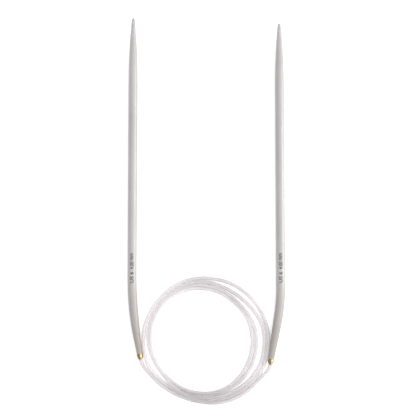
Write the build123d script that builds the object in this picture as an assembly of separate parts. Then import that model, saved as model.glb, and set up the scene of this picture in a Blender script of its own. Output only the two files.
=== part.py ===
from build123d import *
import math
import os

# Circular knitting needle, 4.00 mm x 1000 mm, lying flat with its cord coiled.
# Millimetres.  +Y runs along the needle tips towards the points, +Z is up,
# the table is z = 0 and the origin is the middle of the footprint.
# Turned pieces are drawn as (radius, z) outlines, with z running rearward.

# ---- metal tips ---------------------------------------------------------
needle_dia = 4.00           # the knitting size: the diameter of the straight shaft
tip_length = 147.75         # point to rear end, along the axis
lie_height = needle_dia / 2  # axis of the tips above the table

nose_radius = 0.55          # blunt round end of the point
nose_angle = 75             # degrees of arc from the nose centre to the point's flank
point_length = 31.0
# (radius, distance behind the nose)
point_profile = [(0.95, 3.8), (1.14, 6.3), (1.32, 8.9), (1.49, 11.6), (1.64, 14.4),
                 (1.77, 17.2), (1.88, 20.5), (1.96, 25.0)]

rear_radius = 1.30          # at the rear face
# (distance in front of the rear face, radius)
rear_profile = [(0.0, rear_radius), (3.0, 1.39), (6.0, 1.525), (8.5, 1.64), (11.5, 1.765),
                (15.0, 1.885), (19.0, 1.965), (24.0, needle_dia / 2)]
# further loft sections, by distance in front of the rear face
rear_between = [1.5, 4.5, 7.25, 10.0, 13.2, 17.0, 21.5]
bend_sections = 8           # loft intervals from the straight shaft to the rear taper

bore_radius = 1.04          # blind bore in the rear end, takes the ferrule spigot
bore_depth = 8.2
drill_point_length = 0.6
drill_point_radius = 0.05
cutter_overrun = 1.0        # how far the bore cutter stands out of the rear face

# triangle cut off the outer edge of the rear face
edge_cut_inset = 0.12
edge_cut_outset = 0.4
edge_cut_top = 0.02
edge_cut_depth = 0.62

# how each tip lies in the plane of the table, before the origin is moved:
# outward is the X sign of its side, the shaft passes through (shaft_x, shaft_y), lean
# tilts the point towards the middle and bend turns the rear inward (both in degrees),
# and rear is the straight length behind the bend
tip_lay = {
    "left": dict(outward=-1, point_y=141.8, shaft_x=-32.50, shaft_y=33.0,
                 lean=0.316, bend=9.9, rear=5.7, bend_radius=172.0),
    "right": dict(outward=1, point_y=139.45, shaft_x=32.74, shaft_y=33.0,
                  lean=0.320, bend=9.8, rear=18.0, bend_radius=82.0),
}

# ---- cord ---------------------------------------------------------------
cord_radius = 0.85          # hollow nylon cord, 1.7 mm outside
cord_bore_radius = 0.42
cord_insert = 9.8           # length of cord hidden in each ferrule
coil_chunks = 16            # lengths the coil is swept in

# flexing lengths of cord beside each ferrule, measured along the cord from the
# ferrule mouth: [0, a] stiff, [a, b] flexes up, [b, c] stiff, [c, d] flexes sideways
flex_a, flex_b, flex_c, flex_d = 1.5, 11.0, 13.0, 24.0

# ---- ferrules -----------------------------------------------------------
film = 0.01                 # adhesive film all round the spigot
ferrule_head_length = 2.5   # the brass that shows between tip and cord
ferrule_head_radius = rear_radius
ferrule_head_chamfer = 0.05
ferrule_bore_radius = cord_radius + 0.01
spigot_radius = bore_radius - film
spigot_length = 7.6
spigot_end_chamfer = (0.06, 0.12)    # outer edge of the spigot end: radial, axial
spigot_bore_chamfer = (0.05, 0.1)    # bore edge of the spigot end: radial, axial
mouth_outer_radius = 0.90
mouth_inner_radius = 0.885
mouth_chamfer_depth = 0.12
# (radius, z) of the narrowing head
ferrule_crown = [(ferrule_head_radius, 0.60), (1.285, 1.00), (1.22, 1.45), (1.12, 1.85),
                 (0.99, 2.20), (0.92, 2.38)]
crown_end_tangent = (-0.35, 0, 0.94)

# ---- core pins ----------------------------------------------------------
core_pin_radius = 0.39
core_pin_length = 8.6
core_pin_inset = 0.3        # pin's front end behind the hidden end of the cord
barb_radius = 0.41
barb_root_radius = core_pin_radius - 0.06
barb_count = 3
barb_start = 1.6            # first barb behind the front end of the pin
barb_pitch = 2.4
barb_length = 0.9
barb_back = 0.02            # axial length of the step down behind a barb

# (x, y, z) along the centre line of the coiled cord between the ferrule mouths, left
# to right: four and two fifths turns, anticlockwise from above, strands 0.05 mm or
# more clear of each other
coil_line = [
    (-28.06, -10.28, 1.96), (-26.89, -12.14, 1.94), (-25.21, -14.12, 1.99),
    (-23.16, -16.31, 2.09), (-20.99, -18.38, 2.20), (-18.22, -20.52, 2.31), (-15.26, -22.37, 2.41),
    (-12.30, -23.86, 2.47), (-9.23, -25.12, 2.42), (-6.07, -26.11, 2.26), (-2.83, -26.77, 2.03),
    (0.46, -27.06, 1.70), (3.75, -26.90, 1.30), (6.99, -26.28, 0.99), (10.14, -25.26, 0.87),
    (13.17, -23.90, 0.86), (16.03, -22.23, 0.86), (18.68, -20.24, 0.86), (21.05, -17.92, 0.86),
    (23.11, -15.32, 0.86), (24.82, -12.48, 0.86), (26.10, -9.42, 0.86), (26.91, -6.21, 0.86),
    (27.34, -2.92, 0.86), (27.55, 0.39, 0.86), (27.24, 3.69, 0.86), (26.44, 6.91, 0.86),
    (25.33, 10.03, 0.86), (23.91, 13.03, 0.86), (22.13, 15.83, 0.86), (20.03, 18.40, 0.86),
    (17.64, 20.70, 0.86), (15.01, 22.71, 0.86), (12.15, 24.39, 0.86), (9.11, 25.71, 0.86),
    (5.92, 26.62, 0.86), (2.65, 27.16, 0.86), (-0.66, 27.39, 0.86), (-3.97, 27.24, 0.86),
    (-7.24, 26.66, 0.86), (-10.39, 25.64, 0.86), (-13.38, 24.20, 0.86), (-16.15, 22.37, 0.86),
    (-18.66, 20.22, 0.86), (-20.92, 17.78, 0.86), (-22.90, 15.12, 0.86), (-24.61, 12.28, 0.86),
    (-26.01, 9.28, 0.86), (-26.97, 6.10, 0.86), (-27.45, 2.82, 0.86), (-27.59, -0.49, 0.86),
    (-27.37, -3.80, 0.86), (-26.80, -7.07, 0.86), (-25.79, -10.22, 0.86), (-24.12, -13.08, 0.86),
    (-22.02, -15.65, 0.86), (-19.65, -17.97, 0.86), (-17.06, -20.03, 0.86), (-14.28, -21.85, 0.86),
    (-11.33, -23.35, 0.86), (-8.20, -24.44, 0.86), (-4.96, -25.16, 0.86), (-1.66, -25.49, 0.86),
    (1.66, -25.39, 0.86), (4.93, -24.89, 0.86), (8.14, -24.04, 0.86), (11.23, -22.84, 0.86),
    (14.17, -21.30, 0.86), (16.88, -19.39, 0.86), (19.30, -17.13, 0.86), (21.41, -14.57, 0.86),
    (23.16, -11.76, 0.86), (24.45, -8.71, 0.86), (25.21, -5.48, 0.86), (25.61, -2.18, 0.86),
    (25.70, 1.13, 0.86), (25.25, 4.41, 0.86), (24.25, 7.57, 0.86), (22.73, 10.52, 0.86),
    (20.82, 13.23, 0.86), (18.62, 15.71, 0.86), (16.20, 17.97, 0.86), (13.59, 20.02, 0.86),
    (10.79, 21.80, 0.86), (7.84, 23.32, 0.86), (4.78, 24.58, 0.86), (1.56, 25.38, 0.86),
    (-1.75, 25.59, 0.86), (-5.05, 25.27, 0.86), (-8.26, 24.47, 0.86), (-11.34, 23.23, 0.86),
    (-14.20, 21.56, 0.86), (-16.81, 19.51, 0.86), (-19.13, 17.14, 0.86), (-21.15, 14.52, 0.86),
    (-22.88, 11.69, 0.86), (-24.28, 8.68, 0.86), (-25.24, 5.51, 0.86), (-25.63, 2.22, 0.86),
    (-25.41, -1.09, 0.86), (-24.68, -4.32, 0.86), (-23.54, -7.43, 0.86), (-22.06, -10.40, 0.86),
    (-20.26, -13.18, 0.86), (-18.17, -15.76, 0.86), (-15.87, -18.15, 0.86), (-13.30, -20.24, 0.86),
    (-10.38, -21.80, 0.86), (-7.23, -22.85, 0.86), (-3.98, -23.48, 0.86), (-0.67, -23.68, 0.86),
    (2.64, -23.46, 0.86), (5.90, -22.84, 0.86), (9.04, -21.79, 0.86), (11.98, -20.26, 0.86),
    (14.67, -18.32, 0.86), (16.98, -15.94, 0.86), (18.82, -13.19, 0.86), (20.27, -10.20, 0.86),
    (21.33, -7.06, 0.86), (21.96, -3.81, 0.86), (22.17, -0.50, 0.86), (21.94, 2.81, 0.86),
    (21.18, 6.03, 0.86), (19.88, 9.08, 0.86), (18.13, 11.90, 0.86), (16.06, 14.49, 0.86),
    (13.75, 16.87, 0.86), (11.24, 19.04, 0.86), (8.49, 20.89, 0.87), (5.53, 22.36, 1.04),
    (2.42, 23.46, 1.43), (-0.79, 24.13, 1.91), (-4.08, 24.28, 2.28), (-7.36, 23.89, 2.49),
    (-10.54, 22.97, 2.59), (-13.53, 21.53, 2.63), (-16.25, 19.64, 2.63), (-18.66, 17.36, 2.64),
    (-20.73, 14.77, 2.66), (-22.40, 11.91, 2.65), (-23.63, 8.83, 2.60), (-24.40, 5.61, 2.50),
    (-24.69, 2.31, 2.41), (-24.51, -1.00, 2.40), (-23.88, -4.26, 2.47), (-22.86, -7.41, 2.55),
    (-21.43, -10.40, 2.59), (-19.60, -13.17, 2.60), (-17.43, -15.67, 2.58), (-15.00, -17.93, 2.52),
    (-12.33, -19.89, 2.49), (-9.38, -21.39, 2.50), (-6.22, -22.41, 2.53), (-2.96, -23.00, 2.57),
    (0.35, -23.11, 2.60), (3.64, -22.70, 2.58), (6.81, -21.73, 2.49), (9.76, -20.24, 2.28),
    (12.40, -18.27, 1.93), (14.71, -15.93, 1.47), (16.66, -13.28, 1.08), (18.19, -10.35, 0.88),
    (19.31, -7.23, 0.86), (20.06, -4.00, 0.86), (20.38, -0.70, 0.96), (20.17, 2.59, 1.25),
    (19.55, 5.82, 1.70), (18.51, 8.94, 2.12), (16.92, 11.83, 2.34), (14.83, 14.41, 2.39),
    (12.47, 16.74, 2.40), (9.90, 18.84, 2.41), (7.10, 20.60, 2.46), (4.05, 21.89, 2.67),
    (0.86, 22.69, 3.05), (-2.41, 23.06, 3.49), (-5.71, 23.01, 3.84), (-8.96, 22.43, 4.05),
    (-12.07, 21.27, 4.16), (-14.91, 19.58, 4.20), (-17.44, 17.43, 4.25), (-19.61, 14.93, 4.29),
    (-21.40, 12.14, 4.30), (-22.73, 9.10, 4.26), (-23.59, 5.90, 4.17), (-23.98, 2.61, 4.07),
    (-23.92, -0.70, 4.09), (-23.44, -3.98, 4.21), (-22.55, -7.17, 4.33), (-21.29, -10.24, 4.40),
    (-19.68, -13.13, 4.42), (-17.78, -15.85, 4.35), (-15.64, -18.38, 4.16), (-13.26, -20.68, 3.90),
    (-10.64, -22.71, 3.78), (-7.80, -24.41, 3.83), (-4.76, -25.74, 3.88), (-1.58, -26.67, 3.71),
    (1.68, -27.14, 3.35), (4.96, -27.14, 2.92), (8.23, -26.67, 2.56), (11.41, -25.76, 2.38),
    (14.43, -24.40, 2.35), (17.38, -22.52, 2.39), (20.08, -20.29, 2.40), (22.21, -18.19, 2.33),
    (24.32, -16.06, 2.16), (26.17, -14.24, 2.04), (27.51, -12.50, 2.00),
]


class TipAxis:
    """The axis of one metal tip: a straight shaft, a bend and a straight rear."""

    def __init__(self, outward, point_y, shaft_x, shaft_y, lean, bend, rear, bend_radius):
        sine, cosine = math.sin(math.radians(lean)), math.cos(math.radians(lean))
        forward = Vector(-outward * sine, cosine, 0)
        to_point = (point_y - shaft_y) / cosine
        self.point = Vector(shaft_x, shaft_y, lie_height) + forward * to_point
        self.rearward = forward * -1
        self.inward = Vector(-outward * cosine, -sine, 0)
        self.bend = math.radians(bend)
        self.bend_radius = bend_radius
        self.straight = tip_length - rear - bend_radius * self.bend
        self.rear_end, self.rear_direction = self.at(tip_length)
        self.mouth = self.rear_end + self.rear_direction * ferrule_head_length

    def at(self, distance):
        """Position and rearward direction at a distance behind the nose."""
        beyond = max(distance - self.straight, 0)
        angle = min(beyond / self.bend_radius, self.bend)
        past_bend = max(beyond - self.bend_radius * self.bend, 0)
        along = min(distance, self.straight) + self.bend_radius * math.sin(angle)
        across = self.bend_radius * (1 - math.cos(angle))
        direction = self.rearward * math.cos(angle) + self.inward * math.sin(angle)
        position = (self.point + self.rearward * along + self.inward * across
                    + direction * past_bend)
        return position, direction

    def plane(self, distance):
        """Plane square to the axis, with its Z pointing rearward."""
        position, direction = self.at(distance)
        return Plane(origin=position, x_dir=(0, 0, 1), z_dir=direction)


def in_xz(outline):
    return [(radius, 0, z) for radius, z in outline]


def turned(*edges):
    """Solid of revolution about Z from edges that close an outline."""
    return revolve(make_face(list(edges)), Axis.Z, 360)


def rear_radius_at(ahead):
    """Radius of the tip at a distance in front of its rear face."""
    for (ahead0, radius0), (ahead1, radius1) in zip(rear_profile, rear_profile[1:]):
        if ahead0 <= ahead <= ahead1:
            return radius0 + (radius1 - radius0) * (ahead - ahead0) / (ahead1 - ahead0)
    return rear_profile[-1][1]


def make_shaft(straight):
    """The point and the straight shaft, with the nose at the origin."""
    def nose_at(angle):
        return (nose_radius * math.sin(angle), 0, nose_radius * (1 - math.cos(angle)))

    arc = math.radians(nose_angle)
    shaft_radius = needle_dia / 2
    nose = ThreePointArc((0, 0, 0), nose_at(arc / 2), nose_at(arc))
    flank = Spline(
        [nose_at(arc)] + in_xz(point_profile + [(shaft_radius, point_length)]),
        tangents=[(math.cos(arc), 0, math.sin(arc)), (0, 0, 1)],
    )
    rest = Polyline(*in_xz([(shaft_radius, point_length), (shaft_radius, straight),
                            (0, straight), (0, 0)]))
    return turned(nose, flank, rest)


def make_bent_rear(axis):
    """The bend and the rear taper, lofted through round sections on the bent axis."""
    taper_length = rear_profile[-1][0]
    bend_step = (tip_length - taper_length - axis.straight) / bend_sections
    stations = [axis.straight + bend_step * i for i in range(bend_sections)]
    taper = sorted([ahead for ahead, _ in rear_profile] + rear_between, reverse=True)
    stations += [tip_length - ahead for ahead in taper]
    return loft([(axis.plane(station) * Circle(rear_radius_at(tip_length - station))).face()
                 for station in stations])


def make_tip(axis):
    tip = axis.plane(0).location * make_shaft(axis.straight) + make_bent_rear(axis)
    rear_face = axis.plane(tip_length).location
    # blind bore with a drill-point end, square to the rear face
    drill = (Pos(0, 0, (cutter_overrun - bore_depth) / 2)
             * Cylinder(bore_radius, bore_depth + cutter_overrun))
    drill += (Pos(0, 0, -bore_depth - drill_point_length / 2) * Rot(180, 0, 0)
              * Cone(bore_radius, drill_point_radius, drill_point_length))
    tip = tip - rear_face * drill
    # broken outer edge of the rear face
    inner = (rear_radius - edge_cut_inset, edge_cut_top)
    outer = rear_radius + edge_cut_outset
    edge_cut = Polyline(*in_xz([inner, (outer, edge_cut_top), (outer, -edge_cut_depth), inner]))
    return tip - rear_face * turned(edge_cut)


def make_ferrule(axis):
    """Brass ferrule: a spigot in the tip and a rounded, narrowing head round the cord."""
    crown = Spline(*in_xz(ferrule_crown), tangents=[(0, 0, 1), crown_end_tangent])
    end_radial, end_axial = spigot_end_chamfer
    bore_radial, bore_axial = spigot_bore_chamfer
    rest = Polyline(*in_xz([
        ferrule_crown[-1],
        (mouth_outer_radius, ferrule_head_length),
        (mouth_inner_radius, ferrule_head_length),
        (ferrule_bore_radius, ferrule_head_length - mouth_chamfer_depth),
        (ferrule_bore_radius, -spigot_length + bore_axial),
        (ferrule_bore_radius + bore_radial, -spigot_length),
        (spigot_radius - end_radial, -spigot_length),
        (spigot_radius, -spigot_length + end_axial),
        (spigot_radius, 0),
        (ferrule_head_radius - ferrule_head_chamfer, 0),
        (ferrule_head_radius, ferrule_head_chamfer),
        ferrule_crown[0],
    ]))
    return axis.plane(tip_length).location * turned(crown, rest)


def make_core_pin(axis):
    """Small barbed pin that fills the hollow cord end under the ferrule."""
    front = ferrule_head_length - cord_insert + core_pin_inset
    back = front + core_pin_length
    outline = [(0, front), (core_pin_radius - 0.12, front), (core_pin_radius, front + 0.15)]
    for i in range(barb_count):
        root = front + barb_start + barb_pitch * i
        outline += [(barb_root_radius, root), (barb_radius, root + barb_length),
                    (barb_root_radius, root + barb_length + barb_back)]
    outline += [(core_pin_radius - 0.04, back - 0.3), (0.12, back), (0, back), (0, front)]
    return axis.plane(tip_length).location * turned(Polyline(*in_xz(outline)))


def make_cord_line(left, right):
    """Centre line of the cord from the left ferrule mouth to the right one."""
    points = [left.mouth] + [Vector(*point) for point in coil_line] + [right.mouth]
    along = [0.0]
    for start, end in zip(points, points[1:]):
        along.append(along[-1] + (end - start).length)
    return Edge.make_spline(
        points,
        tangents=[left.rear_direction, right.rear_direction * -1],
        parameters=along,
        scale=False,
    )


def tube_along(path):
    """Hollow cord swept along an edge or a chain of edges, closed by two annular ends."""
    faces = []
    for radius in (cord_radius, cord_bore_radius):
        circle = Wire([Plane(origin=path @ 0, z_dir=path % 0) * Edge.make_circle(radius)])
        faces += Shell.sweep(circle, path).faces()
    for u in (0, 1):
        faces.append((Plane(origin=path @ u, z_dir=path % u)
                      * (Circle(cord_radius) - Circle(cord_bore_radius))).face())
    body = Solid(Shell(faces))
    # a negative volume means the shell is inside out
    return body if body.volume > 0 else Solid(Shell([-face for face in faces]))


def make_cord_lengths(side, axis, cord):
    """The four short lengths of cord beside one ferrule, by name."""
    def stretch(near, far):
        near, far = near / cord.length, far / cord.length
        return cord.trim(near, far) if side == "left" else cord.trim(1 - far, 1 - near)

    deep = axis.mouth - axis.rear_direction * cord_insert
    # both chains run in the direction of the cord, left to right
    if side == "left":
        end = [Line(deep, axis.mouth), stretch(0, flex_a)]
    else:
        end = [stretch(0, flex_a), Line(axis.mouth, deep)]
    return {
        "cord_end_" + side: tube_along(Wire(end)),
        "cord_rise_" + side: tube_along(stretch(flex_a, flex_b)),
        "cord_link_" + side: tube_along(stretch(flex_b, flex_c)),
        "cord_swing_" + side: tube_along(stretch(flex_c, flex_d)),
    }


def make_coil(cord):
    start = flex_d / cord.length
    step = (1 - 2 * start) / coil_chunks
    return tube_along(Wire([cord.trim(start + step * i, start + step * (i + 1))
                            for i in range(coil_chunks)]))


axes = {side: TipAxis(**lay) for side, lay in tip_lay.items()}
cord = make_cord_line(axes["left"], axes["right"])

parts = {}
for side, axis in axes.items():
    parts["tip_" + side] = make_tip(axis)
    parts["ferrule_" + side] = make_ferrule(axis)
    parts["core_pin_" + side] = make_core_pin(axis)
    parts.update(make_cord_lengths(side, axis, cord))
parts["cord_coil"] = make_coil(cord)

# move the origin to the middle of the footprint, on the table
solids = [solid for body in parts.values() for solid in body.solids()]
box = Compound(children=solids).bounding_box(optimal=True)
to_origin = Pos(-(box.min.X + box.max.X) / 2, -(box.min.Y + box.max.Y) / 2, -box.min.Z)

os.makedirs("parts", exist_ok=True)
for name, body in parts.items():
    export_step(to_origin * body.solids()[0], "parts/" + name + ".step")
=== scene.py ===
"""Circular knitting needle lying on a white table, seen from above (+Z up).

The two metal tips lie left (-X) and right (+X) with their points towards +Y. At the rear each
carries a brass ferrule, and a hollow clear cord, coiled between them towards -Y, joins the two.
Lengths are millimetres until a mesh is made; materials, lights and camera use metres.
"""
import math
import bmesh
import bpy
import numpy as np
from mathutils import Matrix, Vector


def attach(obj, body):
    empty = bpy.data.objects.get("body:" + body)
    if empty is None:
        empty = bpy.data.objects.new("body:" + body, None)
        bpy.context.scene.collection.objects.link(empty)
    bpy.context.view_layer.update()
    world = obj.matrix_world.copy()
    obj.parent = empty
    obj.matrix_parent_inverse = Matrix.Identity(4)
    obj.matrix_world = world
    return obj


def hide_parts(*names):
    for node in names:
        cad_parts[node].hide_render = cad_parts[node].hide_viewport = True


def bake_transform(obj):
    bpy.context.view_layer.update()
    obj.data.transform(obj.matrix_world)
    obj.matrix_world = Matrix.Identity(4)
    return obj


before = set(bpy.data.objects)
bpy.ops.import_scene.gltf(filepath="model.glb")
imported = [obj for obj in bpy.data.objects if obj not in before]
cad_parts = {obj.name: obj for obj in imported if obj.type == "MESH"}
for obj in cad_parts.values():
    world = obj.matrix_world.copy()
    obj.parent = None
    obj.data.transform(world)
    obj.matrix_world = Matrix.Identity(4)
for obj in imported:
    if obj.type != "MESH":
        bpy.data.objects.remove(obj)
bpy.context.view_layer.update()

MM = 0.001
UP = np.array([0.0, 0.0, 1.0])

# ---- dimensions ---------------------------------------------------------------
LAYOUT_OFFSET = np.array([-0.1355, -56.8755, 0.0014])   # from layout coordinates to the frame

TIP_LENGTH = 147.75
SHAFT_R = 2.0
NOSE_R = 0.55
NOSE_ANGLE = math.radians(75)        # how far the nose's arc turns before the taper takes over
NOSE_TAPER_END = 4.0                 # rings are closer together up to here
EDGE_START = 0.30                    # the rolled rear edge begins this far ahead of the rear
EDGE_STEP = 0.01
EDGE_ROLL_LENGTH, EDGE_ROLL_DEPTH = 0.13, 0.10
REAR_SLOPE = -0.030
SOCKET_R, SOCKET_MOUTH_R, SOCKET_CHAMFER = 1.04, 1.06, 0.06
SOCKET_DEPTH = 8.2                   # straight part of the socket
SOCKET_CONE_R, SOCKET_CONE_DEPTH, SOCKET_BOTTOM = 0.6, 8.45, 8.6
FERRULE_HEAD = 2.5                   # how far the ferrule stands out behind the tip

CORD_R, BORE_R = 0.85, 0.42
CORD_INSERT = 9.8                    # length of cord held inside each ferrule and tip
# where the cord is divided, as arc length from each ferrule's mouth
GRIP_END, RISE_END, LINK_END, SWING_END = 1.5, 11.0, 13.0, 24.0
BLEND_INSET = 0.35                   # points on the cord are taken this far inside a piece's end
RISE_BLEND_INSET = 3.0

RING_STEP = 0.5
SKIN_SEGMENTS = 40
BORE_SEGMENTS = SKIN_SEGMENTS // 2   # the end rings pair two skin edges with each bore edge
METAL_SEGMENTS = 96

# (distance behind the nose, radius)
POINT_PROFILE = [
    (3.8, 0.95), (6.3, 1.14), (8.9, 1.32), (11.6, 1.49), (14.4, 1.64), (17.2, 1.77),
    (20.5, 1.88), (25.0, 1.96), (31.0, SHAFT_R),
]
# (distance ahead of the rear end, radius)
REAR_PROFILE = [
    (0.0, 1.30), (3.0, 1.39), (6.0, 1.525), (8.5, 1.64), (11.5, 1.765), (15.0, 1.885),
    (19.0, 1.965), (24.0, SHAFT_R),
]
# closed outline of the ferrule: (distance behind the tip's rear end, radius)
FERRULE_OUTLINE = [
    # spigot inside the tip
    (-7.6, 0.97), (-7.48, 1.03), (-5.0, 1.03), (-2.5, 1.03), (-0.01, 1.03), (0.0, 1.05),
    # shoulder and fine turned groove
    (0.0, 1.235), (0.04, 1.275), (0.11, 1.30), (0.22, 1.30), (0.26, 1.268), (0.32, 1.258),
    (0.38, 1.268), (0.42, 1.30),
    # dome and its lip round the cord
    (0.60, 1.30), (0.80, 1.297), (1.00, 1.285), (1.23, 1.258), (1.45, 1.22), (1.65, 1.176),
    (1.85, 1.12), (2.03, 1.060), (2.20, 0.99), (2.30, 0.951), (2.38, 0.922), (2.44, 0.911),
    (2.48, 0.900), (FERRULE_HEAD, 0.890), (FERRULE_HEAD, 0.878), (2.46, 0.868), (2.38, 0.86),
    # bore
    (-7.5, 0.86), (-7.6, 0.90),
]

# How each tip lies. The axis passes through (x, y) and leans inward towards the nose at nose_y;
# near the rear it bends inward on an arc of bend_radius, then runs straight for rear_length.
# outward is the sign of X away from the middle; lean and bend are degrees.
TIP_LAYS = {
    "left": dict(outward=-1.0, nose_y=141.8, x=-32.50, y=33.0, lean=0.316, bend=9.9,
                 bend_radius=172.0, rear_length=5.7),
    "right": dict(outward=1.0, nose_y=139.45, x=32.74, y=33.0, lean=0.320, bend=9.8,
                  bend_radius=82.0, rear_length=18.0),
}

# Centre line of the cord between the ferrule mouths, left to right: layout (x, y, z)
CORD_LINE = [
    (-28.06, -10.28, 1.96), (-26.89, -12.14, 1.94), (-25.21, -14.12, 1.99),
    (-23.16, -16.31, 2.09), (-20.99, -18.38, 2.20), (-18.22, -20.52, 2.31), (-15.26, -22.37, 2.41),
    (-12.30, -23.86, 2.47), (-9.23, -25.12, 2.42), (-6.07, -26.11, 2.26), (-2.83, -26.77, 2.03),
    (0.46, -27.06, 1.70), (3.75, -26.90, 1.30), (6.99, -26.28, 0.99), (10.14, -25.26, 0.87),
    (13.17, -23.90, 0.86), (16.03, -22.23, 0.86), (18.68, -20.24, 0.86), (21.05, -17.92, 0.86),
    (23.11, -15.32, 0.86), (24.82, -12.48, 0.86), (26.10, -9.42, 0.86), (26.91, -6.21, 0.86),
    (27.34, -2.92, 0.86), (27.55, 0.39, 0.86), (27.24, 3.69, 0.86), (26.44, 6.91, 0.86),
    (25.33, 10.03, 0.86), (23.91, 13.03, 0.86), (22.13, 15.83, 0.86), (20.03, 18.40, 0.86),
    (17.64, 20.70, 0.86), (15.01, 22.71, 0.86), (12.15, 24.39, 0.86), (9.11, 25.71, 0.86),
    (5.92, 26.62, 0.86), (2.65, 27.16, 0.86), (-0.66, 27.39, 0.86), (-3.97, 27.24, 0.86),
    (-7.24, 26.66, 0.86), (-10.39, 25.64, 0.86), (-13.38, 24.20, 0.86), (-16.15, 22.37, 0.86),
    (-18.66, 20.22, 0.86), (-20.92, 17.78, 0.86), (-22.90, 15.12, 0.86), (-24.61, 12.28, 0.86),
    (-26.01, 9.28, 0.86), (-26.97, 6.10, 0.86), (-27.45, 2.82, 0.86), (-27.59, -0.49, 0.86),
    (-27.37, -3.80, 0.86), (-26.80, -7.07, 0.86), (-25.79, -10.22, 0.86), (-24.12, -13.08, 0.86),
    (-22.02, -15.65, 0.86), (-19.65, -17.97, 0.86), (-17.06, -20.03, 0.86), (-14.28, -21.85, 0.86),
    (-11.33, -23.35, 0.86), (-8.20, -24.44, 0.86), (-4.96, -25.16, 0.86), (-1.66, -25.49, 0.86),
    (1.66, -25.39, 0.86), (4.93, -24.89, 0.86), (8.14, -24.04, 0.86), (11.23, -22.84, 0.86),
    (14.17, -21.30, 0.86), (16.88, -19.39, 0.86), (19.30, -17.13, 0.86), (21.41, -14.57, 0.86),
    (23.16, -11.76, 0.86), (24.45, -8.71, 0.86), (25.21, -5.48, 0.86), (25.61, -2.18, 0.86),
    (25.70, 1.13, 0.86), (25.25, 4.41, 0.86), (24.25, 7.57, 0.86), (22.73, 10.52, 0.86),
    (20.82, 13.23, 0.86), (18.62, 15.71, 0.86), (16.20, 17.97, 0.86), (13.59, 20.02, 0.86),
    (10.79, 21.80, 0.86), (7.84, 23.32, 0.86), (4.78, 24.58, 0.86), (1.56, 25.38, 0.86),
    (-1.75, 25.59, 0.86), (-5.05, 25.27, 0.86), (-8.26, 24.47, 0.86), (-11.34, 23.23, 0.86),
    (-14.20, 21.56, 0.86), (-16.81, 19.51, 0.86), (-19.13, 17.14, 0.86), (-21.15, 14.52, 0.86),
    (-22.88, 11.69, 0.86), (-24.28, 8.68, 0.86), (-25.24, 5.51, 0.86), (-25.63, 2.22, 0.86),
    (-25.41, -1.09, 0.86), (-24.68, -4.32, 0.86), (-23.54, -7.43, 0.86), (-22.06, -10.40, 0.86),
    (-20.26, -13.18, 0.86), (-18.17, -15.76, 0.86), (-15.87, -18.15, 0.86), (-13.30, -20.24, 0.86),
    (-10.38, -21.80, 0.86), (-7.23, -22.85, 0.86), (-3.98, -23.48, 0.86), (-0.67, -23.68, 0.86),
    (2.64, -23.46, 0.86), (5.90, -22.84, 0.86), (9.04, -21.79, 0.86), (11.98, -20.26, 0.86),
    (14.67, -18.32, 0.86), (16.98, -15.94, 0.86), (18.82, -13.19, 0.86), (20.27, -10.20, 0.86),
    (21.33, -7.06, 0.86), (21.96, -3.81, 0.86), (22.17, -0.50, 0.86), (21.94, 2.81, 0.86),
    (21.18, 6.03, 0.86), (19.88, 9.08, 0.86), (18.13, 11.90, 0.86), (16.06, 14.49, 0.86),
    (13.75, 16.87, 0.86), (11.24, 19.04, 0.86), (8.49, 20.89, 0.87), (5.53, 22.36, 1.04),
    (2.42, 23.46, 1.43), (-0.79, 24.13, 1.91), (-4.08, 24.28, 2.28), (-7.36, 23.89, 2.49),
    (-10.54, 22.97, 2.59), (-13.53, 21.53, 2.63), (-16.25, 19.64, 2.63), (-18.66, 17.36, 2.64),
    (-20.73, 14.77, 2.66), (-22.40, 11.91, 2.65), (-23.63, 8.83, 2.60), (-24.40, 5.61, 2.50),
    (-24.69, 2.31, 2.41), (-24.51, -1.00, 2.40), (-23.88, -4.26, 2.47), (-22.86, -7.41, 2.55),
    (-21.43, -10.40, 2.59), (-19.60, -13.17, 2.60), (-17.43, -15.67, 2.58), (-15.00, -17.93, 2.52),
    (-12.33, -19.89, 2.49), (-9.38, -21.39, 2.50), (-6.22, -22.41, 2.53), (-2.96, -23.00, 2.57),
    (0.35, -23.11, 2.60), (3.64, -22.70, 2.58), (6.81, -21.73, 2.49), (9.76, -20.24, 2.28),
    (12.40, -18.27, 1.93), (14.71, -15.93, 1.47), (16.66, -13.28, 1.08), (18.19, -10.35, 0.88),
    (19.31, -7.23, 0.86), (20.06, -4.00, 0.86), (20.38, -0.70, 0.96), (20.17, 2.59, 1.25),
    (19.55, 5.82, 1.70), (18.51, 8.94, 2.12), (16.92, 11.83, 2.34), (14.83, 14.41, 2.39),
    (12.47, 16.74, 2.40), (9.90, 18.84, 2.41), (7.10, 20.60, 2.46), (4.05, 21.89, 2.67),
    (0.86, 22.69, 3.05), (-2.41, 23.06, 3.49), (-5.71, 23.01, 3.84), (-8.96, 22.43, 4.05),
    (-12.07, 21.27, 4.16), (-14.91, 19.58, 4.20), (-17.44, 17.43, 4.25), (-19.61, 14.93, 4.29),
    (-21.40, 12.14, 4.30), (-22.73, 9.10, 4.26), (-23.59, 5.90, 4.17), (-23.98, 2.61, 4.07),
    (-23.92, -0.70, 4.09), (-23.44, -3.98, 4.21), (-22.55, -7.17, 4.33), (-21.29, -10.24, 4.40),
    (-19.68, -13.13, 4.42), (-17.78, -15.85, 4.35), (-15.64, -18.38, 4.16), (-13.26, -20.68, 3.90),
    (-10.64, -22.71, 3.78), (-7.80, -24.41, 3.83), (-4.76, -25.74, 3.88), (-1.58, -26.67, 3.71),
    (1.68, -27.14, 3.35), (4.96, -27.14, 2.92), (8.23, -26.67, 2.56), (11.41, -25.76, 2.38),
    (14.43, -24.40, 2.35), (17.38, -22.52, 2.39), (20.08, -20.29, 2.40), (22.21, -18.19, 2.33),
    (24.32, -16.06, 2.16), (26.17, -14.24, 2.04), (27.51, -12.50, 2.00),
]

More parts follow.
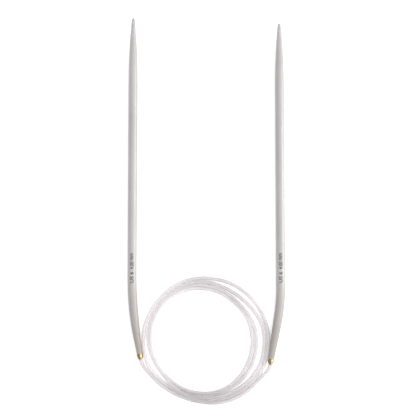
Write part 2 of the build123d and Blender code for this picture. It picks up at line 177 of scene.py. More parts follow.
# Size marks on the left shaft: (text, start and end in mm behind the nose, cap height)
SIZE_MARKS = [
    ("US 6", 116.19, 111.48, 1.62),
    ("4.00", 110.30, 107.00, 1.62),
    ("mm", 106.34, 103.35, 1.25),
]
PRINT_RAISE, PRINT_SINK = 0.012, 0.025   # print's top above and underside below the shaft surface
PRINT_SLICE = 0.11                       # height of the strips that let the print wrap


# ---- curves -------------------------------------------------------------------
def clamped_spline(knots, points, start_slope, end_slope):
    """Clamped cubic through points at knots. Returns curve(u) -> (position, derivative)."""
    knots, points = np.asarray(knots, float), np.asarray(points, float)
    count, gaps = len(knots), np.diff(knots)
    chords = np.diff(points, axis=0) / gaps[:, None]
    matrix = np.zeros((count, count))
    target = np.zeros((count, points.shape[1]))
    matrix[0, 0], matrix[0, 1] = 2 * gaps[0], gaps[0]
    target[0] = 6 * (chords[0] - start_slope)
    matrix[-1, -1], matrix[-1, -2] = 2 * gaps[-1], gaps[-1]
    target[-1] = 6 * (end_slope - chords[-1])
    for i in range(1, count - 1):
        matrix[i, i - 1:i + 2] = gaps[i - 1], 2 * (gaps[i - 1] + gaps[i]), gaps[i]
        target[i] = 6 * (chords[i] - chords[i - 1])
    second = np.linalg.solve(matrix, target)

    def curve(u):
        u = np.clip(np.atleast_1d(np.asarray(u, float)), knots[0], knots[-1])
        k = np.clip(np.searchsorted(knots, u, side="right") - 1, 0, count - 2)
        gap = gaps[k][:, None]
        past = (u - knots[k])[:, None]
        left = gap - past
        start = points[k] / gap - second[k] * gap / 6
        end = points[k + 1] / gap - second[k + 1] * gap / 6
        position = ((second[k] * left**3 + second[k + 1] * past**3) / (6 * gap)
                    + start * left + end * past)
        derivative = (-second[k] * left**2 + second[k + 1] * past**2) / (2 * gap) - start + end
        return position, derivative
    return curve


def radius_spline(profile, start_slope, end_slope):
    """Smooth radius as a function of distance, through (distance, radius) points."""
    distances = [distance for distance, _ in profile]
    curve = clamped_spline(distances, [[radius] for _, radius in profile], start_slope, end_slope)
    return lambda distance: curve(distance)[0][:, 0]


class TipAxis:
    """The bent axis of one metal tip, which rests on the table."""

    def __init__(self, outward, nose_y, x, y, lean, bend, bend_radius, rear_length):
        lean = math.radians(lean)
        forward = np.array([-outward * math.sin(lean), math.cos(lean)])
        self.nose = np.array([x, y]) + forward * ((nose_y - y) / forward[1])
        self.back = -forward
        self.bend, self.bend_radius = math.radians(bend), bend_radius
        self.straight = TIP_LENGTH - rear_length - bend_radius * self.bend
        inward = np.array([-outward, 0.0])
        inward = inward - self.back * (inward @ self.back)
        self.inward = inward / np.linalg.norm(inward)

    def at(self, s):
        """Centre and rearward direction at s mm behind the nose."""
        angle = min(max((s - self.straight) / self.bend_radius, 0.0), self.bend)
        if s <= self.straight:
            centre, rearward = self.nose + self.back * s, self.back
        else:
            along = self.straight + self.bend_radius * math.sin(angle)
            sideways = self.bend_radius * (1 - math.cos(angle))
            rearward = self.back * math.cos(angle) + self.inward * math.sin(angle)
            past_bend = max(s - self.straight - self.bend_radius * self.bend, 0.0)
            centre = (self.nose + self.back * along + self.inward * sideways
                      + rearward * past_bend)
        return np.array([*centre, SHAFT_R]) + LAYOUT_OFFSET, np.array([*rearward, 0.0])


axes = {side: TipAxis(**lay) for side, lay in TIP_LAYS.items()}


def ferrule_mouth(side):
    rear, rearward = axes[side].at(TIP_LENGTH)
    return rear + rearward * FERRULE_HEAD, rearward


LEFT_MOUTH, LEFT_OUT = ferrule_mouth("left")
RIGHT_MOUTH, RIGHT_OUT = ferrule_mouth("right")


def arc_lengths(points):
    return np.concatenate([[0.0], np.cumsum(np.linalg.norm(np.diff(points, axis=0), axis=1))])


cord_points = np.vstack([LEFT_MOUTH, np.array(CORD_LINE) + LAYOUT_OFFSET, RIGHT_MOUTH])
cord_knots = arc_lengths(cord_points)
cord_curve = clamped_spline(cord_knots, cord_points, LEFT_OUT, -RIGHT_OUT)
# table that turns arc length into the curve's own parameter
curve_params = np.linspace(0, cord_knots[-1], 40001)
curve_lengths = arc_lengths(cord_curve(curve_params)[0])
CORD_LENGTH = float(curve_lengths[-1])


def cord_at(s):
    """Centre and unit direction at arc length s from the left mouth; straight in the ferrules."""
    s = np.atleast_1d(np.asarray(s, float))
    params = np.interp(np.clip(s, 0, CORD_LENGTH), curve_lengths, curve_params)
    position, direction = cord_curve(params)
    direction = direction / np.linalg.norm(direction, axis=1)[:, None]
    before, after = s < 0, s > CORD_LENGTH
    position[before] = LEFT_MOUTH + s[before][:, None] * LEFT_OUT
    direction[before] = LEFT_OUT
    position[after] = RIGHT_MOUTH - (s[after] - CORD_LENGTH)[:, None] * RIGHT_OUT
    direction[after] = -RIGHT_OUT
    return position, direction


# ---- meshes -------------------------------------------------------------------
def new_mesh(name, verts, faces, smooth=True):
    """Object from vertices in mm."""
    mesh = bpy.data.meshes.new(name)
    mesh.from_pydata([tuple(vert) for vert in np.asarray(verts) * MM], [], faces)
    mesh.validate()
    mesh.update()
    obj = bpy.data.objects.new(name, mesh)
    bpy.context.scene.collection.objects.link(obj)
    if smooth:
        mesh.polygons.foreach_set("use_smooth", [True] * len(mesh.polygons))
    return obj


def add_wrap_uv(obj, uvs):
    """UV map from one (turn, metres along) per vertex; faces across the seam run on past 1."""
    mesh = obj.data
    layer = mesh.uv_layers.new(name="wrap")
    vertex_of = np.zeros(len(mesh.loops), int)
    mesh.loops.foreach_get("vertex_index", vertex_of)
    coords = np.array(uvs, float)[vertex_of]
    for face in mesh.polygons:
        turns = coords[face.loop_start:face.loop_start + face.loop_total, 0]
        if turns.max() - turns.min() > 0.5:
            turns[turns < 0.5] += 1.0
    layer.data.foreach_set("uv", coords.ravel())


def ring_angles(segments):
    angles = np.arange(segments) * 2 * math.pi / segments
    return np.cos(angles)[:, None], np.sin(angles)[:, None]


def revolve(name, outline, place, poles=None):
    """Turns (s, radius) points about the axis place(s) -> (centre, direction).

    poles are the s of two vertices that close the ends; without them the outline is a loop.
    """
    seg = METAL_SEGMENTS
    cos, sin = ring_angles(seg)
    verts, faces, uvs = [], [], []
    for s, radius in outline:
        centre, direction = place(s)
        side = np.cross(direction, UP)
        side = side / np.linalg.norm(side)
        verts += list(centre + radius * (cos * UP + sin * side))
        uvs += [(k / seg, s * MM) for k in range(seg)]
    last = (len(outline) - 1) * seg
    for row in range(0, last, seg):
        for k in range(seg):
            a, b = row + k, row + (k + 1) % seg
            faces.append((a, a + seg, b + seg, b))
    if poles is None:
        for k in range(seg):
            after = (k + 1) % seg
            faces.append((last + k, k, after, last + after))
    else:
        first_pole = len(verts)
        for s in poles:
            verts.append(place(s)[0])
            uvs.append((0.5, s * MM))
        faces += [(first_pole, k, (k + 1) % seg) for k in range(seg)]
        faces += [(first_pole + 1, last + (k + 1) % seg, last + k) for k in range(seg)]
    obj = new_mesh(name, verts, [face[::-1] for face in faces])
    add_wrap_uv(obj, uvs)
    return obj


# ---- metal tips and ferrules --------------------------------------------------
def tip_outline():
    """(distance behind the nose, radius): the outside from the nose back, then the socket."""
    length = TIP_LENGTH
    # rounded nose
    outline = [(NOSE_R * (1 - math.cos(angle)), NOSE_R * math.sin(angle))
               for angle in np.linspace(0, NOSE_ANGLE, 12)[1:]]
    nose_end = (NOSE_R * (1 - math.cos(NOSE_ANGLE)), NOSE_R * math.sin(NOSE_ANGLE))
    # tapered point
    point_radius = radius_spline([nose_end] + POINT_PROFILE, 1 / math.tan(NOSE_ANGLE), 0.0)
    point_end = POINT_PROFILE[-1][0]
    s = np.concatenate([np.linspace(nose_end[0], NOSE_TAPER_END, 16)[1:],
                        np.linspace(NOSE_TAPER_END, point_end, 48)[1:]])
    outline += list(zip(s, point_radius(s)))
    # shaft
    rear_start = length - REAR_PROFILE[-1][0]
    outline += [(x, SHAFT_R) for x in np.linspace(point_end, rear_start, 64)[1:]]
    # tapered rear and its rolled edge
    rear = [(length - ahead, radius) for ahead, radius in reversed(REAR_PROFILE)]
    rear_radius = radius_spline(rear, 0.0, REAR_SLOPE)
    s = np.linspace(rear_start, length - EDGE_START, 60)[1:]
    outline += list(zip(s, rear_radius(s)))
    edge_radius = float(rear_radius(length - EDGE_START)[0])
    for angle in np.linspace(0, math.pi / 2, 8)[1:]:
        outline.append((length - EDGE_ROLL_LENGTH + EDGE_ROLL_LENGTH * math.sin(angle),
                        edge_radius - EDGE_STEP - EDGE_ROLL_DEPTH * (1 - math.cos(angle))))
    # socket for the ferrule's spigot
    outline += [(length, SOCKET_MOUTH_R), (length - SOCKET_CHAMFER, SOCKET_R)]
    outline += [(length - depth, SOCKET_R)
                for depth in np.linspace(SOCKET_CHAMFER, SOCKET_DEPTH, 14)[1:]]
    outline.append((length - SOCKET_CONE_DEPTH, SOCKET_CONE_R))
    return outline


def register_metal(obj, side, node):
    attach(obj, side + "_tip")
    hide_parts(node)


def build_tip(side):
    obj = revolve("needle_tip_" + side, tip_outline(), axes[side].at,
                  poles=(0.0, TIP_LENGTH - SOCKET_BOTTOM))
    register_metal(obj, side, "tip_" + side)
    return obj


def build_ferrule(side):
    rear, back = axes[side].at(TIP_LENGTH)
    obj = revolve("ferrule_shell_" + side, FERRULE_OUTLINE, lambda s: (rear + s * back, back))
    register_metal(obj, side, "ferrule_" + side)
    return obj


tips, ferrules = {}, {}
for side in axes:
    tips[side] = build_tip(side)
    ferrules[side] = build_ferrule(side)


# ---- cord ---------------------------------------------------------------------
def cord_stations():
    """Arc lengths of one set of rings for the whole cord, so neighbouring pieces meet exactly."""
    cuts = [-CORD_INSERT, GRIP_END, RISE_END, LINK_END, SWING_END]
    cuts += [CORD_LENGTH - cut for cut in reversed(cuts)]
    rings = []
    for start, end in zip(cuts, cuts[1:]):
        steps = max(2, int(round((end - start) / RING_STEP)))
        rings += list(np.linspace(start, end, steps + 1)[:-1])
    return np.array(rings + [cuts[-1]])


def carry_normals(directions):
    """A normal per ring, carried along the cord without twist."""
    normals = np.zeros_like(directions)
    normal = UP
    for i, direction in enumerate(directions):
        normal = normal - direction * (normal @ direction)
        normal = normal / np.linalg.norm(normal)
        normals[i] = normal
    return normals


stations = cord_stations()
ring_centres, ring_directions = cord_at(stations)
ring_normals = carry_normals(ring_directions)
ring_sides = np.cross(ring_directions, ring_normals)
cords = []


def cord_piece(name, start, end, node):
    """A length of hollow cord: material 0 is its skin, 1 its bore, 2 the ring-shaped ends."""
    first, last = (int(np.argmin(abs(stations - s))) for s in (start, end))
    spans = last - first
    verts, faces, uvs = [], [], []
    for radius, seg, inside in ((CORD_R, SKIN_SEGMENTS, False), (BORE_R, BORE_SEGMENTS, True)):
        base = len(verts)
        cos, sin = ring_angles(seg)
        for i in range(first, last + 1):
            verts += list(ring_centres[i] + radius * (cos * ring_normals[i] + sin * ring_sides[i]))
            uvs += [(k / seg, stations[i] * MM) for k in range(seg)]
        for i in range(spans):
            for k in range(seg):
                a, b = base + i * seg + k, base + i * seg + (k + 1) % seg
                c, d = b + seg, a + seg
                faces.append((a, d, c, b) if inside else (a, b, c, d))
    bore_start = (spans + 1) * SKIN_SEGMENTS
    for i, order in ((0, -1), (spans, 1)):
        skin_ring, bore_ring = i * SKIN_SEGMENTS, bore_start + i * BORE_SEGMENTS
        for j in range(BORE_SEGMENTS):
            skin_a, skin_b, skin_c = (skin_ring + (2 * j + k) % SKIN_SEGMENTS for k in range(3))
            bore_a, bore_b = bore_ring + j, bore_ring + (j + 1) % BORE_SEGMENTS
            faces += [(skin_a, skin_b, bore_b, bore_a)[::order],
                      (skin_b, skin_c, bore_b)[::order]]
    obj = new_mesh(name, verts, faces)
    add_wrap_uv(obj, uvs)
    skin, bore = spans * SKIN_SEGMENTS, spans * BORE_SEGMENTS
    parts = [0] * skin + [1] * bore + [2] * (len(faces) - skin - bore)
    obj.data.polygons.foreach_set("material_index", parts)
    obj.data.set_sharp_from_angle(angle=math.radians(50))
    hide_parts(node)
    cords.append(obj)
    return obj


def build_cord_end(side):
    """The pieces between one ferrule and the coil; distances run from that ferrule's mouth."""
    def from_mouth(s):
        return s if side == "left" else CORD_LENGTH - s

    def piece(tube, start, end, node):
        start, end = sorted((from_mouth(start), from_mouth(end)))
        return cord_piece(f"cord_{tube}_tube_{side}", start, end, f"cord_{node}_{side}")

    def point(s):
        return tuple(float(x) * MM for x in cord_at(from_mouth(s))[0][0])

    tip, link_node = side + "_tip", side + "_link"
    grip = piece("grip", -CORD_INSERT, GRIP_END, "end")
    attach(grip, tip)
    rise = piece("rise", GRIP_END, RISE_END, "rise")
    # points a little inside each end of the rise
    point(RISE_END - RISE_BLEND_INSET)
    point(GRIP_END + BLEND_INSET)
    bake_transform(rise)
    link = piece("link", RISE_END, LINK_END, "link")
    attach(link, link_node)
    swing = piece("swing", LINK_END, SWING_END, "swing")
    point(SWING_END - BLEND_INSET)
    point(LINK_END + BLEND_INSET)
    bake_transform(swing)


coil = cord_piece("cord_coil_tube", SWING_END, CORD_LENGTH - SWING_END, "cord_coil")
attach(coil, "coil")
for side in axes:
    build_cord_end(side)


# ---- size marks along the shafts ----------------------------------------------
def flat_text(text, length, cap):
    """Flat word as a bmesh: length along x, cap height in y, cut into strips along x."""
    curve = bpy.data.curves.new("mark", "FONT")
    curve.body = text
    curve.size = 1.0
    curve.resolution_u = 5
    curve.space_character = 1.05
    curve.offset = 0.018
    holder = bpy.data.objects.new("mark", curve)
    bpy.context.scene.collection.objects.link(holder)
    bpy.context.view_layer.update()
    depsgraph = bpy.context.evaluated_depsgraph_get()
    mesh = bpy.data.meshes.new_from_object(holder.evaluated_get(depsgraph))
    bpy.data.objects.remove(holder)
    bpy.data.curves.remove(curve)
    bm = bmesh.new()
    bm.from_mesh(mesh)
    bpy.data.meshes.remove(mesh)
    bmesh.ops.remove_doubles(bm, verts=bm.verts[:], dist=1e-5)
    x0, x1 = min(v.co.x for v in bm.verts), max(v.co.x for v in bm.verts)
    y0, y1 = min(v.co.y for v in bm.verts), max(v.co.y for v in bm.verts)
    for vert in bm.verts:
        x = (vert.co.x - x0) / (x1 - x0) * length
        y = ((vert.co.y - y0) / (y1 - y0) - 0.5) * cap
        vert.co = (x, y, 0.0)
    y = -0.45 * cap
    while y < 0.5 * cap:
        bmesh.ops.bisect_plane(bm, geom=bm.verts[:] + bm.edges[:] + bm.faces[:],
                               plane_co=(0, y, 0), plane_no=(0, 1, 0))
        y += PRINT_SLICE
    bmesh.ops.triangulate(bm, faces=bm.faces[:])
    bm.verts.index_update()
    return bm


def build_print(side):
    """The marks as a thin raised print on top of the shaft, read from the rear to the point."""
    axis = axes[side]
    # keeps the two prints level in y, although the noses are not
    behind = axis.nose[1] - axes["left"].nose[1]
    verts, faces = [], []
    for text, start, end, cap in SIZE_MARKS:
        bm = flat_text(text, start - end, cap)
        top, under = len(verts), len(verts) + len(bm.verts)
        for radius in (SHAFT_R + PRINT_RAISE, SHAFT_R - PRINT_SINK):
            for vert in bm.verts:
                x, y, _ = vert.co
                centre, rearward = axis.at(start - x + behind)
                angle = y / SHAFT_R
                outward = math.cos(angle) * UP + math.sin(angle) * np.cross(rearward, UP)
                verts.append(centre + radius * outward)
        for face in bm.faces:
            corners = [vert.index for vert in face.verts]
            faces.append(tuple(top + i for i in corners))
            faces.append(tuple(under + i for i in reversed(corners)))
        # walls along the outline
        for edge in bm.edges:
            if len(edge.link_faces) != 1:
                continue
            a, b = (vert.index for vert in edge.verts)
            corners = [vert.index for vert in edge.link_faces[0].verts]
            if corners[(corners.index(a) + 1) % 3] != b:
                a, b = b, a
            faces.append((top + a, under + a, under + b, top + b))
        bm.free()
    obj = new_mesh("size_mark_" + side, verts, faces, smooth=False)
    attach(obj, side + "_tip")
    return obj


prints = {side: build_print(side) for side in axes}


# ---- shader helpers -----------------------------------------------------------
def rgba(colour):
    """A grey level or an RGB triple as an opaque colour."""
    if isinstance(colour, (int, float)):
        colour = (colour,) * 3
    return (*colour, 1.0)


class Nodes:
    """Short forms for building the node tree of a material or a world."""

    def __init__(self, owner, output="ShaderNodeOutputMaterial"):
        owner.use_nodes = True
        self.owner = owner
        self.tree = owner.node_tree
        self.tree.nodes.clear()
        self.output = self.node(output)

    def feed(self, socket, value):
        if isinstance(value, bpy.types.NodeSocket):
            self.tree.links.new(value, socket)
        else:
            socket.default_value = rgba(value) if socket.type == "RGBA" else value

    def node(self, kind, inputs=None, **settings):
        """A node; inputs maps socket names or numbers to values or to other nodes' outputs."""
        node = self.tree.nodes.new(kind)
        for key, value in settings.items():
            setattr(node, key, value)
        for key, value in (inputs or {}).items():
            self.feed(node.inputs[key], value)
        return node

    def finish(self, shader):
        self.feed(self.output.inputs["Surface"], shader)
        return self.owner

    def coords(self, kind="Object"):
        return self.node("ShaderNodeTexCoord").outputs[kind]

    def wrap_uv(self):
        return self.node("ShaderNodeUVMap", uv_map="wrap").outputs["UV"]

    def split(self, vector):
        return self.node("ShaderNodeSeparateXYZ", {0: vector}).outputs

    def math(self, operation, a, b, clamp=False):
        return self.node("ShaderNodeMath", {0: a, 1: b}, operation=operation,
                         use_clamp=clamp).outputs[0]

    def mix(self, factor, a, b, blend="MIX"):
        return self.node("ShaderNodeMix", {0: factor, 6: a, 7: b}, data_type="RGBA",
                         blend_type=blend).outputs[2]

    def multiply(self, factor, a, b):
        return self.mix(factor, a, b, blend="MULTIPLY")

    def noise(self, vector, detail, roughness, stretch=None, scale=1.0):
        """Noise; stretch scales each axis of the coordinates first."""
        if stretch:
            mapping = self.node("ShaderNodeMapping", {"Scale": stretch, "Vector": vector})
            vector = mapping.outputs["Vector"]
        return self.node("ShaderNodeTexNoise", {
            "Scale": scale, "Detail": detail, "Roughness": roughness, "Vector": vector,
        }).outputs["Fac"]

    def fade(self, value, start, end, levels=(0.0, 1.0), smooth=True):
        """levels[0] at start, levels[1] at end, flat outside."""
        return self.node("ShaderNodeMapRange", {
            "From Min": start, "From Max": end, "To Min": levels[0], "To Max": levels[1],
            "Value": value,
        }, interpolation_type="SMOOTHSTEP" if smooth else "LINEAR").outputs["Result"]

    def ramp(self, factor, stops):
        """Colour ramp; stops are (position, colour or grey level)."""
        node = self.node("ShaderNodeValToRGB", {"Fac": factor})
        elements = node.color_ramp.elements
        while len(elements) < len(stops):
            elements.new(0.5)
        for element, (position, colour) in zip(elements, stops):
            element.position = position
            element.color = rgba(colour)
        return node.outputs["Color"]

    def facing(self):
        return self.node("ShaderNodeLayerWeight", {"Blend": 0.5}).outputs["Facing"]

    def bump(self, height, strength, distance, normal=None):
        inputs = {"Strength": strength, "Distance": distance, "Height": height}
        if normal is not None:
            inputs["Normal"] = normal
        return self.node("ShaderNodeBump", inputs).outputs["Normal"]

    def principled(self, inputs):
        return self.node("ShaderNodeBsdfPrincipled", inputs).outputs[0]

    def transparent(self, colour):
        return self.node("ShaderNodeBsdfTransparent", {"Color": colour}).outputs[0]

    def mix_shaders(self, factor, a, b):
        return self.node("ShaderNodeMixShader", {0: factor, 1: a, 2: b}).outputs[0]


def new_material(name):
    return Nodes(bpy.data.materials.new(name))


# ---- materials ----------------------------------------------------------------
def lacquer():
    """Pearl-grey satin lacquer, worn bare on the point and the rear edge."""
    t = new_material("pearl_grey_lacquer")
    uv = t.wrap_uv()
    obj = t.coords()
    # slow colour drift, fine lengthwise draw lines and the sparkle of the flake
    cloud = t.noise(obj, stretch=(160, 60, 160), detail=4, roughness=0.55)
    grain = t.noise(uv, stretch=(220, 260, 1), detail=5, roughness=0.6)
    pearl = t.noise(obj, stretch=(9000, 9000, 9000), detail=2, roughness=0.5)
    base = t.ramp(cloud, [(0.30, (0.390, 0.380, 0.374)), (0.52, (0.420, 0.409, 0.401)),
                          (0.75, (0.443, 0.433, 0.421))])
    flake = t.ramp(pearl, [(0.42, (0.94, 0.94, 0.95)), (0.62, (1.06, 1.05, 1.05))])
    base = t.multiply(0.55, base, flake)
    base = t.multiply(0.6, base, t.ramp(grain, [(0.35, 0.96), (0.65, 1.03)]))
    # a shade darker and warmer from the bend to the rear
    behind_nose = t.split(uv)["Y"]
    base = t.multiply(t.fade(behind_nose, start=0.106, end=0.128), base, (0.900, 0.885, 0.855))
    base = t.multiply(t.fade(behind_nose, start=0.126, end=0.145), base, (0.925, 0.905, 0.860))
    # wear: patchy on the point, nearly whole on the last quarter millimetre of the rear
    point = t.fade(behind_nose, start=0.0, end=0.014, levels=(1.0, 0.0), smooth=False)
    rear = t.fade(behind_nose, start=(TIP_LENGTH - 0.25) * MM, end=TIP_LENGTH * MM, smooth=False)
    rub = t.noise(obj, stretch=(900, 420, 900), detail=5, roughness=0.65)
    worn = t.math("MULTIPLY", point, t.fade(rub, start=0.44, end=0.60))
    worn = t.math("MULTIPLY", worn, 0.50)
    worn = t.math("MAXIMUM", worn, t.math("MULTIPLY", rear, 0.9), clamp=True)
    peel = t.noise(obj, stretch=(2600, 1500, 2600), detail=3, roughness=0.5)
    grain_normal = t.bump(grain, strength=0.10, distance=0.00002)
    return t.finish(t.principled({
        "Base Color": t.mix(worn, base, (0.66, 0.65, 0.64)),
        "Roughness": t.mix(worn, t.ramp(grain, [(0.3, 0.40), (0.7, 0.50)]), 0.26),
        "Metallic": t.math("ADD", t.math("MULTIPLY", worn, 0.5), 0.30, clamp=True),
        "Coat Weight": 0.15,
        "Coat Roughness": 0.36,
        "Normal": t.bump(peel, strength=0.12, distance=0.00003, normal=grain_normal),
    }))


def brass():
    """Turned brass with patchy tarnish and fine tool rings, with painted shade where it turns away
    and a painted reflection across it.
    """
    t = new_material("turned_brass")
    obj = t.coords()
    tarnish = t.noise(obj, stretch=(1500, 1500, 1500), detail=5, roughness=0.6)
    rings = t.noise(t.wrap_uv(), stretch=(3.0, 26000, 1), detail=2, roughness=0.5)
    colour = t.ramp(tarnish, [(0.30, (0.42, 0.31, 0.12)), (0.50, (0.70, 0.58, 0.34)),
                              (0.72, (0.88, 0.79, 0.56))])
    # painted shade: the colour darkens where the surface turns away from view
    away = t.ramp(t.facing(), [(0.10, 1.0), (0.60, (0.80, 0.76, 0.68)),
                               (0.96, (0.34, 0.30, 0.22))])
    colour = t.multiply(1.0, colour, away)
    # painted reflection by the way the surface faces, from -X to +X: painted shade on the left
    # flank, a painted dark streak left of the middle, a painted highlight on the right
    facing_x = t.split(t.coords("Normal"))["X"]
    drift = t.noise(obj, stretch=(700, 260, 700), detail=3, roughness=0.5)
    drift = t.math("MULTIPLY", t.math("SUBTRACT", drift, 0.5), 0.5)
    across = t.math("ADD", t.math("MULTIPLY", facing_x, 0.5), 0.5)
    across = t.math("ADD", across, drift, clamp=True)
    painted_reflection = t.ramp(across, [
        (0.00, (0.36, 0.33, 0.24)), (0.17, (0.42, 0.38, 0.28)), (0.27, (0.62, 0.57, 0.44)),
        (0.39, (0.21, 0.195, 0.12)), (0.50, (0.46, 0.42, 0.30)), (0.66, (1.18, 1.16, 1.12)),
        (0.84, (1.02, 0.98, 0.88)), (1.00, (0.50, 0.46, 0.36)),
    ])
    return t.finish(t.principled({
        "Base Color": t.multiply(1.0, colour, painted_reflection),
        "Metallic": 1.0,
        "Roughness": t.ramp(tarnish, [(0.3, 0.26), (0.7, 0.12)]),
        "Normal": t.bump(rings, strength=0.25, distance=0.00001),
    }))


def steel():
    t = new_material("pin_steel")
    streaks = t.noise(t.coords(), stretch=(4000, 900, 4000), detail=4, roughness=0.6)
    return t.finish(t.principled({
        "Base Color": t.ramp(streaks, [(0.3, (0.42, 0.42, 0.43)), (0.7, (0.58, 0.58, 0.59))]),
        "Metallic": 1.0,
        "Roughness": t.ramp(streaks, [(0.3, 0.28), (0.7, 0.42)]),
        "Normal": t.bump(streaks, strength=0.2, distance=0.00002),
    }))


def ink():
    t = new_material("print_ink")
    speckle = t.noise(t.coords(), stretch=(5200, 5200, 5200), detail=4, roughness=0.65)
    return t.finish(t.principled({
        "Base Color": t.ramp(speckle, [(0.30, (0.018, 0.018, 0.019)),
                                       (0.62, (0.035, 0.034, 0.034)),
                                       (0.80, (0.09, 0.088, 0.086))]),
        "Roughness": t.ramp(speckle, [(0.3, 0.45), (0.7, 0.65)]),
        "Normal": t.bump(speckle, strength=0.2, distance=0.00002),
    }))


def nylon(name, flat, on_edge):
    """Clear nylon gone slightly milky.

    Each surface hides what is behind it by flat, and by up to on_edge more where seen edge-on.
    """
    t = new_material(name)
    obj = t.coords()
    uv = t.wrap_uv()
    cloud = t.noise(obj, stretch=(260, 260, 260), detail=4, roughness=0.6)
    scuff = t.noise(uv, stretch=(60, 2600, 1), detail=4, roughness=0.6)
    turned = t.math("POWER", t.facing(), 2.4)
    place = t.split(obj)
    along = t.split(uv)["Y"]
    cord_end = CORD_LENGTH * MM
    # painted light: paler at the left and the right of the coil; the left band is square to a
    # tilted direction
    from_coil = t.math("ADD", place["Y"], 0.0569)
    leftward = t.math("ADD", t.math("MULTIPLY", place["X"], -0.978),
                      t.math("MULTIPLY", from_coil, 0.208))
    right = t.fade(place["X"], start=0.012, end=0.0245)
    painted_light = t.math("ADD", t.fade(leftward, start=0.0070, end=0.0225),
                  t.math("MULTIPLY", right, 0.70), clamp=True)
    # but no painted light on the last few centimetres before each ferrule, where the cord lies
    # singly
    away_from_ends = t.math("MULTIPLY", t.fade(along, start=0.012, end=0.040),
                            t.fade(along, start=cord_end - 0.012, end=cord_end - 0.040))
    painted_light = t.math("MULTIPLY", painted_light, away_from_ends)
    # painted shade: darker along the coil's -Y side, fading out towards +X
    painted_shade = t.math("MULTIPLY", t.fade(place["Y"], start=-0.0755, end=-0.0835),
                   t.fade(place["X"], start=0.014, end=0.0))
    milk_and_painted_light_colour = t.ramp(cloud, [(0.30, (0.530, 0.506, 0.513)), (0.70, (0.590, 0.567, 0.574))])
    # painted light lifts the milky colour towards pale grey
    milk_and_painted_light_colour = t.mix(t.math("MULTIPLY", painted_light, 0.80), milk_and_painted_light_colour, (0.80, 0.78, 0.788))
    # painted shade pulls the colour towards a darker grey
    milk_and_painted_light_colour = t.mix(t.math("MULTIPLY", painted_shade, 0.62), milk_and_painted_light_colour, (0.425, 0.404, 0.404))
    body = t.principled({
        "Base Color": milk_and_painted_light_colour,
        "IOR": 1.53,
        "Roughness": t.ramp(scuff, [(0.35, 0.12), (0.75, 0.28)]),
        "Normal": t.bump(scuff, strength=0.08, distance=0.00002),
    })
    clear = t.transparent(t.mix(turned, (0.985, 0.980, 0.982), (0.80, 0.785, 0.79)))
    # inside the ferrules the cord is clearer and the brass shows through it
    milk = t.math("ADD", t.math("MULTIPLY", turned, on_edge), flat, clamp=True)
    gripped = t.math("MAXIMUM", t.fade(along, start=0.0, end=-0.0005),
                     t.fade(along, start=cord_end, end=cord_end + 0.0005))
    clearing = t.math("MULTIPLY", gripped, 0.80)
    milk = t.math("MULTIPLY", milk, t.math("SUBTRACT", 1.0, clearing))
    seen = t.mix_shaders(milk, clear, body)
    # shadow rays pass almost freely
    shadow = t.transparent((0.965, 0.96, 0.965))
    is_shadow = t.node("ShaderNodeLightPath").outputs["Is Shadow Ray"]
    return t.finish(t.mix_shaders(is_shadow, seen, shadow))


def clear_cut():
    """Ends of a length of cord, all but invisible because the nylon in fact runs on unbroken."""
    t = new_material("clear_nylon_end")
    cloud = t.noise(t.coords(), stretch=(900, 900, 900), detail=2, roughness=0.5)
    return t.finish(t.transparent(t.ramp(cloud, [(0.3, 1.0), (0.7, (0.998, 0.997, 0.998))])))


def white_table():
    t = new_material("white_table")
    cloud = t.noise(t.coords(), scale=30.0, detail=3, roughness=0.5)
    return t.finish(t.principled({
        "Base Color": t.ramp(cloud, [(0.3, (0.90, 0.90, 0.905)), (0.7, 0.92)]),
        "Roughness": 0.85,
        "Specular IOR Level": 0.2,
        "Emission Color": 1.0,
        "Emission Strength": 0.28,
    }))


lacquer_mat, brass_mat, steel_mat, ink_mat = lacquer(), brass(), steel(), ink()
cord_mats = [
    nylon("clear_nylon", flat=0.48, on_edge=0.42),
    nylon("clear_nylon_bore", flat=0.05, on_edge=0.45),
    clear_cut(),
]
for side in axes:
    tips[side].data.materials.append(lacquer_mat)
    ferrules[side].data.materials.append(brass_mat)
    prints[side].data.materials.append(ink_mat)
    pin_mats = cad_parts["core_pin_" + side].data.materials
    pin_mats.clear()
    pin_mats.append(steel_mat)
for cord in cords:
    for material in cord_mats:
        cord.data.materials.append(material)

# ---- table, world, lights and camera ------------------------------------------
scene = bpy.context.scene
TABLE_HALF, TABLE_Z = 1500, -0.02


def build_table():
    corners = [(x * TABLE_HALF, y * TABLE_HALF, TABLE_Z)
               for x, y in ((-1, -1), (1, -1), (1, 1), (-1, 1))]
    table = new_mesh("table_top", corners, [(0, 1, 2, 3)], smooth=False)
    table.data.materials.append(white_table())


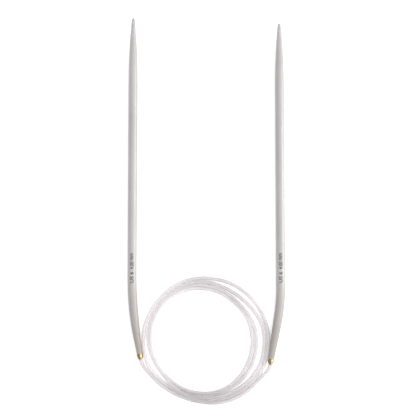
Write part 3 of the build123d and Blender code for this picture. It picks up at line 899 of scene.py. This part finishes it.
def build_world():
    """Studio surround, dim and cool from -X, bright from +X."""
    scene.world = bpy.data.worlds.new("studio")
    t = Nodes(scene.world, output="ShaderNodeOutputWorld")
    direction_x = t.split(t.coords("Generated"))["X"]
    colour = t.ramp(t.fade(direction_x, start=-1.0, end=1.0, smooth=False), [
        (0.0, (0.75, 0.735, 0.81)), (0.25, (0.76, 0.745, 0.79)), (0.5, (0.80, 0.785, 0.765)),
        (0.78, (1.00, 1.00, 0.985)), (1.0, (1.15, 1.16, 1.16)),
    ])
    t.finish(t.node("ShaderNodeBackground", {"Color": colour, "Strength": 1.12}).outputs[0])


def area_light(name, location, target, size, energy, colour=(1, 1, 1)):
    light = bpy.data.lights.new(name, "AREA")
    light.shape = "RECTANGLE"
    light.size, light.size_y = size
    light.energy = energy
    light.color = colour
    obj = bpy.data.objects.new(name, light)
    obj.location = location
    obj.rotation_mode = "QUATERNION"
    aim = Vector(target) - Vector(location)
    obj.rotation_quaternion = aim.to_track_quat("-Z", "Y")
    scene.collection.objects.link(obj)


def build_camera():
    """Looks straight down; view_width is the width it sees at focus_z."""
    view_width, focus_z = 0.18304, 0.0015
    lens = bpy.data.cameras.new("camera")
    camera = bpy.data.objects.new("camera", lens)
    scene.collection.objects.link(camera)
    lens.sensor_width = 36.0
    lens.lens = 100.0
    height = view_width * lens.lens / lens.sensor_width + focus_z
    camera.location = (0.000744, 0.001427, height)
    camera.rotation_euler = (0, 0, 0)
    lens.clip_start, lens.clip_end = 0.01, 10.0
    scene.camera = camera


build_table()
build_world()
area_light("key_right", location=(0.60, 0.02, 0.085), target=(0, 0, 0.002), size=(0.12, 0.80),
           energy=2.7, colour=(1.0, 0.995, 0.98))
area_light("soft_top", location=(0.05, 0.0, 0.85), target=(0, 0, 0), size=(1.0, 1.0), energy=2.0)
build_camera()

scene.view_settings.view_transform = "Standard"
scene.view_settings.look = "None"
scene.view_settings.exposure = 0.0
scene.view_settings.gamma = 1.0
# many bounces, because a view ray crosses many cord walls
scene.cycles.max_bounces = 40
scene.cycles.transmission_bounces = 40
scene.cycles.transparent_max_bounces = 64
scene.cycles.glossy_bounces = 8
scene.cycles.diffuse_bounces = 4
